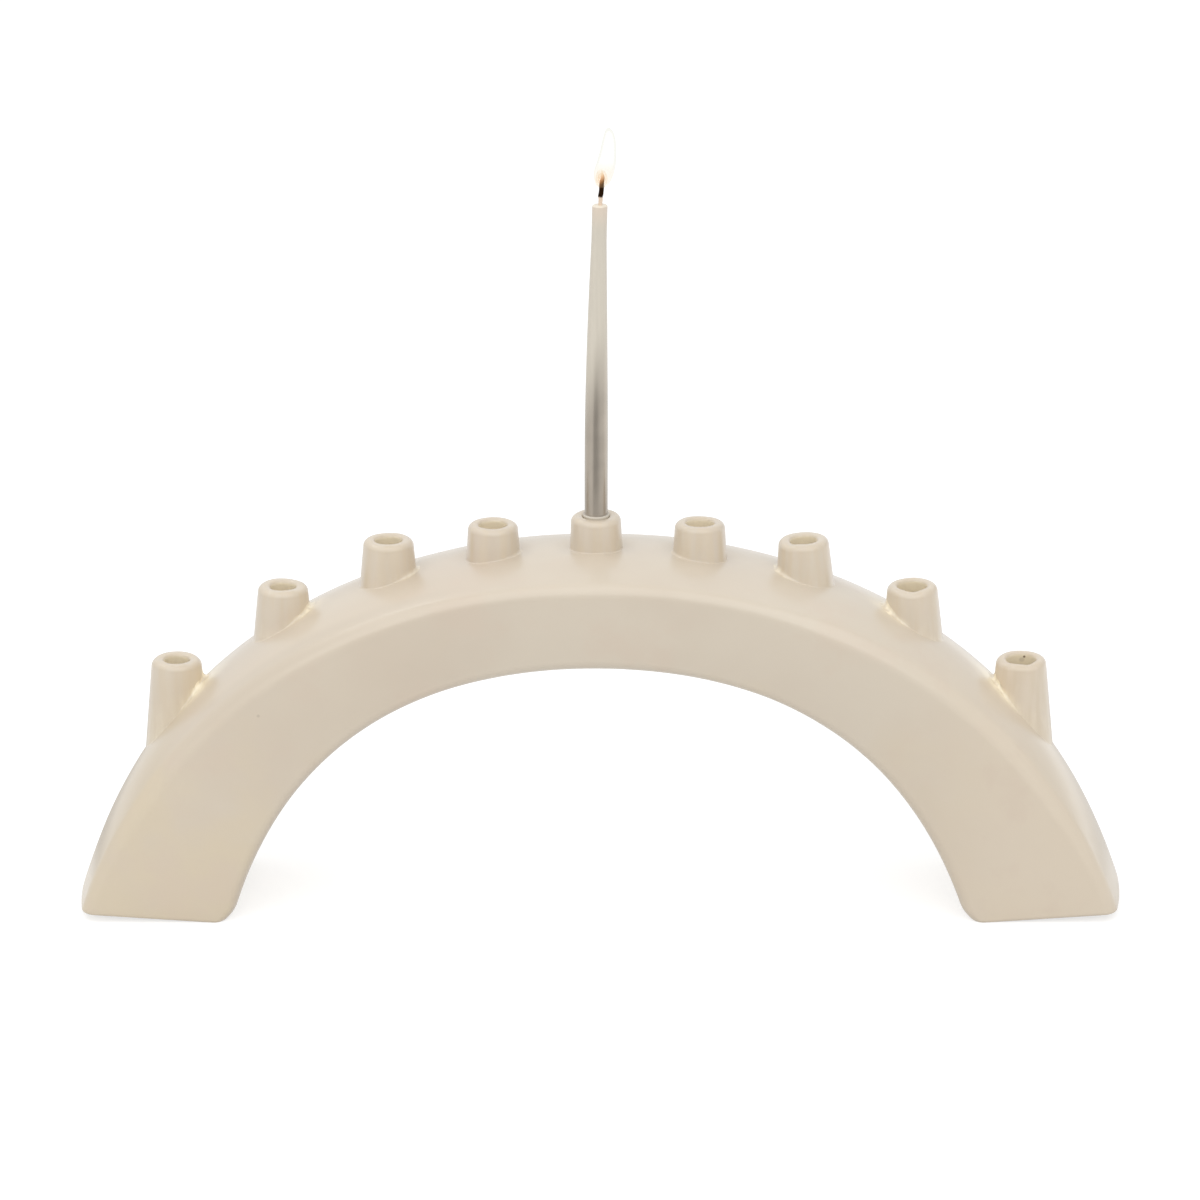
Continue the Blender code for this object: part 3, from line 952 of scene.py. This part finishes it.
    def drop_wall(self, bm, rim, middle, axis, taper, sizes, shell, pool):
        """Take the wall down to the arch and ease it into the crest with a fillet of glaze.

        The fillet is larger, and the glaze in it thicker and lighter with a painted highlight,
        where the crest climbs away.
        """
        spread = steepness_at(middle.x) * DOWNHILL_POOL_AND_HIGHLIGHT
        feet = {}
        made = bmesh.ops.extrude_edge_only(bm, edges=rim)["geom"]
        for vert in only(BMVert, made):
            outward = self.outward_arm(vert.co, middle, axis).normalized()
            down = (outward * taper - axis).normalized()
            hit, normal, _, _ = shell.ray_cast(vert.co - down * 0.008, down)
            slide = (outward - normal * outward.dot(normal)).normalized()
            climb = max(slide.z, 0.0)
            lump = 1.0 + 0.8 * noise.noise(hit * FILLET_LUMPS)
            fillet = sizes.fillet + sizes.uphill_fillet * climb * lump
            feet[vert] = (hit, -down, slide, normal, fillet, climb)
            vert.co = hit - down * fillet
            # The mark of pooled glaze also brings in its painted highlight
            vert[pool] = spread + climb * WALL_POOL_AND_HIGHLIGHT
        for step in range(1, FILLET_STEPS + 2):
            angle = QUARTER * min(step, FILLET_STEPS) / FILLET_STEPS
            made = bmesh.ops.extrude_edge_only(bm, edges=only(BMEdge, made))["geom"]
            after = {}
            for vert in only(BMVert, made):
                before = min(feet, key=lambda old: (old.co - vert.co).length_squared)
                hit, up, slide, normal, fillet, climb = feet[before]
                vert.co = (hit + up * fillet * (1 - math.sin(angle))
                           + slide * fillet * (1 - math.cos(angle)))
                pooled = WALL_POOL_AND_HIGHLIGHT + CREST_POOL_AND_HIGHLIGHT * math.sin(angle)
                vert[pool] = min(spread + climb * pooled, 1.0)
                if step >= FILLET_STEPS:
                    sink = FILLET_EDGE_SINK if step == FILLET_STEPS else FILLET_RIM_SINK
                    crest = shell.ray_cast(vert.co + normal * 0.003, -normal)[0]
                    vert.co = crest - normal * sink
                after[vert] = feet[before]
            feet = after


# The candle

CANDLE_LEVELS = 80
CANDLE_SIDES = 64


def radius_at(sizes, height, length):
    """Straight at the foot, then drawn in faster and faster, and straight again at the tip."""
    taper = length - sizes.straight_foot - sizes.straight_tip
    share = min(max((height - sizes.straight_foot) / taper, 0.0), 1.0)
    fall = (sizes.foot_diameter - sizes.tip_diameter) / 2
    return sizes.foot_diameter / 2 - fall * share ** 1.5


def make_wax(sizes):
    """White wax above, silver paint below, with a feathered edge between them, and painted
    flame light near the top.
    """
    finish = new_finish("dipped_wax_finish")
    place = finish.place()
    height = finish.part(place, "Z")
    across = finish.part(place, "X")
    streaks = finish.clouds(finish.stretch(place, (1.0, 1.0, 0.02)), 700.0, 3.0)
    flecks = finish.clouds(place, 1100.0)
    drift = finish.clouds(place, 60.0)

    top = CANDLE_HIGH.z
    # Painted light: the wax grows warmer and lighter over its top 12 mm, as if lit by the
    # flame, and lighter still at the molten rim of its top, as a painted glow
    lit = finish.ease(height, top - 0.012, top)
    molten_glow = finish.ease(height, top - 0.0005, top - 0.0002)
    wax = sizes.wax_colour
    white = finish.blend(finish.ease(streaks, 0.3, 0.7), wax, tinted(wax, (1.04, 1.04, 1.04)))
    white = finish.blend(lit, white, tinted(wax, (1.14, 1.06, 1.03)))
    white = finish.blend(molten_glow, white, tinted(wax, (1.28, 1.26, 1.24)))

    paint = sizes.silver_colour
    paint = finish.blend(finish.ease(drift, 0.35, 0.65), paint, tinted(paint, (0.9, 0.9, 0.9)))
    collar_top = SHAMASH_RIM + sizes.collar_height
    edge = height - (across - 0.0015) * 2.2 + (streaks - 0.5) * 0.004
    dipped = finish.ease(edge, sizes.dip_height - 0.020, sizes.dip_height + 0.024, 1.0, 0.0)
    squeezed = finish.ease(height + (streaks - 0.5) * 0.0006, collar_top, collar_top - 0.0003)
    silver = dipped * (1 - squeezed * 0.9)
    thin = finish.ease(height, collar_top + 0.016, collar_top + 0.002, 0.0, 0.45)

    skin = finish.bump(streaks, 0.15, 0.0001)
    skin = finish.bump(finish.clouds(place, 260.0), 0.15, 0.0002, skin)
    finish.set(Base_Color=finish.blend(silver, white, paint), Normal=skin,
               Metallic=silver * (1 - thin),
               Roughness=finish.ease(silver, 0.0, 1.0, 0.42, 0.30) + (flecks - 0.5) * 0.04)
    finish.set(IOR=1.44, Coat_Weight=0.4, Coat_Roughness=0.2)
    return finish.owner


class MENORAH_OT_candle(bpy.types.Operator):
    """Make the taper candle, white above and dipped in silver below"""

    bl_idname = "menorah.candle"
    bl_label = "Taper Candle"

    def execute(self, context):
        sizes = context.scene.menorah_candle
        length = CANDLE_HIGH.z - CANDLE_LOW.z
        foot = sizes.foot_diameter / 2
        tip = radius_at(sizes, length, length)
        bm = bmesh.new()
        turn_profile(bm, self.profile(sizes, length, foot, tip), CANDLE_SIDES)
        bmesh.ops.remove_doubles(bm, verts=bm.verts, dist=SAME_PLACE)
        bmesh.ops.recalc_face_normals(bm, faces=bm.faces)
        round_ring(bm, 0.0, foot, 0.0004, 4)
        round_ring(bm, length, tip, 0.0006, 4)
        self.stand(bm, sizes, length)
        piece = finish_mesh("taper_candle", bm, make_wax(sizes))
        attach(piece, "candle")
        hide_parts("candle")
        return {"FINISHED"}

    def profile(self, sizes, length, foot, tip):
        """The candle's outline from its foot up over the ring of soft wax to its top."""
        rim = SHAMASH_RIM - CANDLE_LOW.z
        ring = sizes.collar_diameter / 2
        bottom = rim - sizes.collar_depth
        top = rim + sizes.collar_height
        collar = [(ring - 0.0004, 0, bottom), (ring - 0.0004, 0, rim - 0.0013),
                  (ring - 0.0001, 0, rim - 0.0004), (ring, 0, rim + 0.0003),
                  (ring - 0.0001, 0, top - 0.0004), (ring - 0.0004, 0, top - 0.0001),
                  (foot, 0, top)]
        heights = [top + (length - top) * level / CANDLE_LEVELS
                   for level in range(1, CANDLE_LEVELS)]
        above = [(radius_at(sizes, height, length), 0, height) for height in heights]
        return ([(0.0, 0, 0), (foot, 0, 0), (foot, 0, bottom)] + collar + above
                + [(tip, 0, length), (0.0, 0, length)])

    def stand(self, bm, sizes, length):
        """Bend the candle as it has drooped and stand it in its cup."""
        middle = (SHAMASH_LOW + SHAMASH_HIGH) / 2
        for vert in bm.verts:
            share = vert.co.z / length
            vert.co.x += sizes.lean * share + sizes.bow * share * abs(share)
        bmesh.ops.translate(bm, verts=bm.verts, vec=(middle.x, middle.y, CANDLE_LOW.z))


# The wick

# How far to the right of its foot and how high above the candle the wick's middle passes,
# and its width there against the plain one
WICK_KNOTS = (
    (-0.0001, -0.0040, 0.80), (-0.0001, 0.0002, 0.85), (0.0000, 0.0032, 1.05),
    (0.0001, 0.0042, 1.18), (0.0006, 0.0088, 1.12), (0.0009, 0.0114, 1.00),
    (0.0010, 0.0132, 0.75), (0.0007, 0.0148, 0.30),
)
STEPS_TO_KNOT = 5
PLAIT_STRANDS = 3
PLAIT_DEPTH = 0.10        # of the plait's grooves, as a share of the wick's radius
PLAIT_TWIST = math.radians(14)

# The wick's own light, from black to the white of the flame, over a height above the candle
EMBER_REACH = 0.0160
EMBER_STOPS = (
    (0.0, (0.0, 0.0, 0.0)),
    (0.48, (0.0, 0.0, 0.0)),
    (0.58, (0.04, 0.012, 0.003)),
    (0.65, (0.15, 0.050, 0.015)),
    (0.72, (0.42, 0.165, 0.060)),
    (0.78, (0.70, 0.33, 0.15)),
    (0.84, (0.86, 0.58, 0.34)),
    (0.95, (0.97, 0.82, 0.62)),
)


class MENORAH_OT_wick(bpy.types.Operator):
    """Make the plaited wick, from its pale foot to its glowing end"""

    bl_idname = "menorah.wick"
    bl_label = "Wick"

    def execute(self, context):
        sizes = context.scene.menorah_candle
        line = self.centre_line()
        start, width = line[0]
        bm = bmesh.new()
        bmesh.ops.create_circle(bm, cap_ends=True, segments=24,
                                radius=sizes.wick_diameter / 2 * width)
        for vert in bm.verts:
            turn = math.atan2(vert.co.y, vert.co.x)
            vert.co *= 1.0 + PLAIT_DEPTH * math.cos(PLAIT_STRANDS * turn)
        bmesh.ops.translate(bm, verts=bm.verts, vec=start)
        tip = bm.faces[:][0]
        for (before, wide), (after, wider) in zip(line, line[1:]):
            tip = extrude_tip(bm, tip, first=before == start)
            twist = (Matrix.Translation(after) @ Matrix.Rotation(PLAIT_TWIST, 4, "Z")
                     @ Matrix.Scale(wider / wide, 4) @ Matrix.Translation(-before))
            bmesh.ops.transform(bm, matrix=twist, verts=tip.verts)
        piece = finish_mesh("charred_wick", bm, self.make_char())
        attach(piece, "candle")
        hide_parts("wick")
        return {"FINISHED"}

    def centre_line(self):
        """The wick's middle and its width from inside the candle's top to its curled end."""
        foot = Vector((WICK_HIGH.x - 0.0011, (CANDLE_LOW.y + CANDLE_HIGH.y) / 2, CANDLE_HIGH.z))
        knots = [(Vector((right, 0.0, height)), width) for right, height, width in WICK_KNOTS]
        line = []
        for (low, wide), (high, wider) in zip(knots, knots[1:]):
            for step in range(STEPS_TO_KNOT):
                share = step / STEPS_TO_KNOT
                line.append((foot + low.lerp(high, share), wide + (wider - wide) * share))
        end, width = knots[-1]
        return line + [(foot + end, width)]

    def make_char(self):
        """Pale cotton at the foot, black above, and an ember at the curled end."""
        finish = new_finish("charred_wick_finish")
        place = finish.place()
        across = finish.part(place, "X")
        fibre = finish.clouds(place, 1500.0, 3.0)
        level = finish.part(place, "Z") + (fibre - 0.5) * 0.0008
        char = finish.ease(level, CANDLE_HIGH.z + 0.0031, CANDLE_HIGH.z + 0.0040)
        pale = finish.blend(fibre, (0.72, 0.55, 0.42), (0.88, 0.74, 0.60))
        black = finish.blend(fibre, (0.010, 0.004, 0.001), (0.030, 0.012, 0.004))
        lit = level - (across - (WICK_HIGH.x - 0.0001)) - CANDLE_HIGH.z
        glow = finish.node("ShaderNodeValToRGB", {"stops": EMBER_STOPS}, {0: lit / EMBER_REACH})
        finish.set(Base_Color=finish.blend(char, pale, black), Emission_Color=glow,
                   Normal=finish.bump(fibre, 0.5, 0.0003))
        finish.set(Roughness=0.85, Emission_Strength=1.0, Specular_IOR_Level=0.05)
        return finish.owner


# The flame

# Height above the wick's end, how far its middle stands to the right, and half its width
FLAME_OUTLINE = (
    (-0.0080, 0.0004, 0.0000), (-0.0072, 0.0004, 0.0012), (-0.0060, 0.0005, 0.0021),
    (-0.0042, 0.0010, 0.0031), (-0.0012, 0.0014, 0.0041), (0.0004, 0.0017, 0.0043),
    (0.0050, 0.0029, 0.0040), (0.0097, 0.0036, 0.0034), (0.0144, 0.0040, 0.0027),
    (0.0172, 0.0040, 0.0019), (0.0187, 0.0039, 0.0011), (0.0193, 0.0039, 0.0000),
)
FLAME_FOOT = Vector((WICK_HIGH.x - 0.0012, (WICK_LOW.y + WICK_HIGH.y) / 2, WICK_HIGH.z))
GLOW_MIDDLE = FLAME_FOOT + Vector((0.0006, 0.0, -0.0026))
GLOW_SIZE = Vector((0.0025, 0.0025, 0.0040))
BODY_SHARE = 0.76         # of the veil's width
INNER_GLOW_SHARE = 0.62   # of the outer glow's size


class MENORAH_OT_flame(bpy.types.Operator):
    """Make the flame: a faint outer veil, the white body inside it, and the ember's glow"""

    bl_idname = "menorah.flame"
    bl_label = "Flame"

    def execute(self, context):
        for piece in (self.make_shell("flame_veil", 1.0, self.make_veil()),
                      self.make_shell("flame_body", BODY_SHARE, self.make_body()),
                      self.make_glow()):
            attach(piece, "candle")
        return {"FINISHED"}

    def make_shell(self, name, share, material):
        """A closed drop that leans to the right, at full size or drawn in."""
        bm = bmesh.new()
        turn_profile(bm, [(half * share, 0, rise * (share * 0.3 + 0.7))
                          for rise, _, half in FLAME_OUTLINE], 40)
        bmesh.ops.remove_doubles(bm, verts=bm.verts, dist=SAME_PLACE)
        upright = [edge for edge in bm.edges
                   if abs(edge.verts[0].co.z - edge.verts[1].co.z) > SAME_PLACE]
        bmesh.ops.subdivide_edges(bm, edges=upright, cuts=2, smooth=1.0,
                                  smooth_falloff="SMOOTH")
        heights = [(rise, middle) for rise, middle, _ in FLAME_OUTLINE]
        for vert in bm.verts:
            low, high = [pair for pair in zip(heights, heights[1:])
                         if pair[0][0] <= vert.co.z or pair[0] == heights[0]][-1]
            way = (vert.co.z - low[0]) / (high[0] - low[0])
            vert.co.x += low[1] + (high[1] - low[1]) * way
        bmesh.ops.translate(bm, verts=bm.verts, vec=FLAME_FOOT)
        return finish_mesh(name, bm, material)

    def make_glow(self):
        """The orange light round the wick's end: one thin shell inside another."""
        bm = bmesh.new()
        for share in (1.0, INNER_GLOW_SHARE):
            made = bmesh.ops.create_uvsphere(bm, u_segments=24, v_segments=16, radius=1.0)
            size = Matrix.Diagonal((*GLOW_SIZE * share, 1.0))
            bmesh.ops.transform(bm, matrix=Matrix.Translation(GLOW_MIDDLE) @ size,
                                verts=made["verts"])
        finish = new_finish("ember_glow_finish")
        outward = finish.ease(finish.distance(finish.place(), GLOW_MIDDLE), 0.0014, 0.0026)
        warm = finish.blend(outward, (1.0, 0.47, 0.08), (0.93, 0.66, 0.34))
        cover = (0.16 + outward * 0.04) * (1 - self.before_wick(finish) * 0.6)
        return finish_mesh("ember_glow", bm, self.as_gas(finish, warm, cover, 1.0))

    def make_veil(self):
        """Hot gas: nearly clear, a little yellow."""
        finish = new_finish("flame_veil_finish")
        height = finish.part(finish.place(), "Z")
        fade = finish.ease(height, WICK_HIGH.z - 0.0078, WICK_HIGH.z - 0.0040)
        veil = finish.blend(finish.ease(height, WICK_HIGH.z - 0.003, WICK_HIGH.z + 0.004),
                            (1.05, 0.88, 0.66), (0.86, 0.86, 0.73))
        cover = fade * (1 - self.before_wick(finish)) * 0.26
        return self.as_gas(finish, veil, cover, 0.9)

    def make_body(self):
        """The white body of the flame, clear at its foot round the wick."""
        finish = new_finish("flame_body_finish")
        height = finish.part(finish.place(), "Z")
        fade = finish.ease(height, WICK_HIGH.z - 0.001, WICK_HIGH.z + 0.0055)
        white = finish.blend(fade, (1.0, 0.90, 0.78), (1.0, 1.0, 0.99))
        return self.as_gas(finish, white, fade * 0.92, 1.14)

    def as_gas(self, finish, light, cover, strength):
        """Gas that gives off light, hides a share of what is behind it and reflects nothing."""
        finish.set(Base_Color=(0.0, 0.0, 0.0), Emission_Color=light, Alpha=cover)
        finish.set(Emission_Strength=strength, Roughness=1.0, Specular_IOR_Level=0.0)
        return finish.owner

    def before_wick(self, finish):
        """1 where the gas would hide the charred wick, which shines through it, else 0."""
        place = finish.place()
        height = finish.part(place, "Z")
        wick = (height - CANDLE_HIGH.z) * 0.1 + (WICK_HIGH.x - 0.0014)
        off = abs(finish.part(place, "X") - wick)
        low = finish.ease(height, WICK_HIGH.z + 0.0002, WICK_HIGH.z - 0.0035)
        return finish.ease(off, 0.0013, 0.0007) * low


# The stage

FLOOR_REACH = 6.0
SENSOR_WIDTH = 36.0       # in millimetres


class MENORAH_OT_stage(bpy.types.Operator):
    """Set up the white floor, the soft lights and the camera"""

    bl_idname = "menorah.stage"
    bl_label = "Stage"

    def execute(self, context):
        sizes = context.scene.menorah_stage
        self.lay_floor()
        self.light_world(context, sizes.world_strength)
        self.hang_light("front_softbox", (0.0, -1.05, 1.45), 2.6, 2.0, sizes.key_power)
        self.hang_light("rim_softbox", (-0.75, 0.30, 1.20), 1.2, 0.14, sizes.rim_power)
        self.stand_camera(context, sizes)
        context.scene.view_settings.view_transform = "Standard"
        return {"FINISHED"}

    def lay_floor(self):
        """A wide white floor that takes the object's shadow.

        What the camera and shiny surfaces see of it is partly its own white, so that it
        looks evenly lit. The light that it throws back on the object is a plain grey's.
        Shiny surfaces see it darker in front and behind each leg, and brighter at the
        back on the right.
        """
        bm = bmesh.new()
        bmesh.ops.create_grid(bm, x_segments=1, y_segments=1, size=FLOOR_REACH)
        finish = new_finish("white_floor_finish")
        place = finish.place()
        across = finish.part(place, "X")
        along = finish.part(place, "Y")
        left = finish.ease(across - along * 0.466, 0.0, -0.10)
        right = finish.ease(across, 0.09, 0.52)
        behind = finish.ease(along, -0.25, 0.05)
        front = (1 - left) * (1 - right) * (1 - behind)
        legs = (finish.band(across, -0.35, -0.28, -0.22, -0.15) * 0.45
                + finish.band(across, 0.15, 0.22, 0.28, 0.35) * 0.25)
        legs = legs * finish.band(along, 0.02, 0.08, 0.35, 0.60)
        gleam = finish.ease(across, 0.32, 0.42) * finish.ease(along, -0.15, 0.05)
        dimmer = front * 0.55 + (0.15 + legs - gleam * 0.28)
        white = 0.66 - finish.ray("Glossy") * dimmer
        seen = self.seen_directly(finish)
        finish.set(Base_Color=finish.blend(seen, (0.72, 0.72, 0.72), (0.50, 0.50, 0.50)),
                   Emission_Color=finish.blend(seen * white, (0.0, 0.0, 0.0), (1.0, 1.0, 1.0)))
        finish.set(Emission_Strength=1.0, Roughness=1.0, Specular_IOR_Level=0.0)
        finish_mesh("studio_floor", bm, finish.owner)

    def seen_directly(self, finish):
        """1 for what the camera sees, also in a shiny or a clear surface, and 0 for light."""
        rays = finish.ray("Camera") + finish.ray("Glossy") + finish.ray("Transmission")
        return finish.maths("MINIMUM", rays, 1.0)

    def light_world(self, context, strength):
        """A white studio: plain to the camera, and for shiny surfaces darker in front."""
        world = bpy.data.worlds.new("white_studio")
        context.scene.world = world
        finish = Finish(world)
        direction = finish.node("ShaderNodeTexCoord", output="Generated")
        across, along, rise = [finish.part(direction, axis) for axis in "XYZ"]
        behind = finish.ease(along, -0.35, 0.1)
        sides = finish.maths("MAXIMUM", finish.ease(across, -0.30, -0.46),
                             finish.ease(across, -0.05, 0.65))
        bright = finish.maths("MAXIMUM", sides, behind)
        above = (finish.ease(rise, 0.08, 0.34) * behind
                 * finish.ease(across, 0.75, 0.15, -0.15, 0.18))
        plain = self.seen_directly(finish) * (1.0 - strength) + strength
        gleaming = plain * (0.82 - (1.0 - bright) * 0.37 + above)
        light = finish.node("ShaderNodeMix", {"data_type": "FLOAT"},
                            {0: finish.ray("Glossy"), 2: plain, 3: gleaming})
        background = finish.tree.nodes["Background"]
        finish.feed(background.inputs["Color"], (1.0, 1.0, 1.0))
        finish.feed(background.inputs["Strength"], light)

    def hang_light(self, name, place, width, height, power):
        """A softbox that looks at the middle of the object."""
        data = bpy.data.lights.new(name, "AREA")
        data.shape = "RECTANGLE"
        data.energy = power
        data.size = width
        data.size_y = height
        lamp = bpy.data.objects.new(name, data)
        target = Vector((0.0, 0.0, ARCH_HIGH.z / 2))
        lamp.location = place
        lamp.rotation_euler = (target - Vector(place)).to_track_quat("-Z", "Y").to_euler()
        bpy.context.scene.collection.objects.link(lamp)

    def stand_camera(self, context, sizes):
        """The photograph's own viewpoint."""
        pitch, turn, roll = sizes.camera_pitch, sizes.camera_turn, sizes.camera_roll
        ahead = Vector((math.sin(turn) * math.cos(pitch), math.cos(turn) * math.cos(pitch),
                        -math.sin(pitch)))
        right = Vector((math.cos(turn), -math.sin(turn), 0.0))
        above = right.cross(ahead)
        rolled_right = math.cos(roll) * right + math.sin(roll) * above
        rolled_above = -math.sin(roll) * right + math.cos(roll) * above
        data = bpy.data.cameras.new("camera")
        data.sensor_width = SENSOR_WIDTH
        data.lens = sizes.focal_length
        camera = bpy.data.objects.new("camera", data)
        axes = Matrix((rolled_right, rolled_above, -ahead)).transposed().to_4x4()
        camera.matrix_world = Matrix.Translation(sizes.camera_place) @ axes
        context.scene.collection.objects.link(camera)
        context.scene.camera = camera


class MENORAH_PT_panel(bpy.types.Panel):
    """Buttons for the pieces of the menorah"""

    bl_label = "Arch Menorah"
    bl_idname = "MENORAH_PT_panel"
    bl_space_type = "VIEW_3D"
    bl_region_type = "UI"
    bl_category = "Menorah"

    def draw(self, context):
        for operator in OPERATORS:
            self.layout.operator(operator.bl_idname)


SETTINGS = {
    "menorah_arch": ArchSettings,
    "menorah_cups": CupSettings,
    "menorah_candle": CandleSettings,
    "menorah_stage": StageSettings,
}
OPERATORS = (MENORAH_OT_arch, MENORAH_OT_cups, MENORAH_OT_candle, MENORAH_OT_wick,
             MENORAH_OT_flame, MENORAH_OT_stage)
CLASSES = (*SETTINGS.values(), *OPERATORS, MENORAH_PT_panel)


def register():
    for item in CLASSES:
        bpy.utils.register_class(item)
    for name, group in SETTINGS.items():
        setattr(bpy.types.Scene, name, PointerProperty(type=group))


def unregister():
    for name in SETTINGS:
        delattr(bpy.types.Scene, name)
    for item in reversed(CLASSES):
        bpy.utils.unregister_class(item)


def main():
    """Make every piece in order."""
    register()
    bpy.ops.menorah.arch()
    bpy.ops.menorah.cups()
    bpy.ops.menorah.candle()
    bpy.ops.menorah.wick()
    bpy.ops.menorah.flame()
    bpy.ops.menorah.stage()


if __name__ == "__main__":
    main()
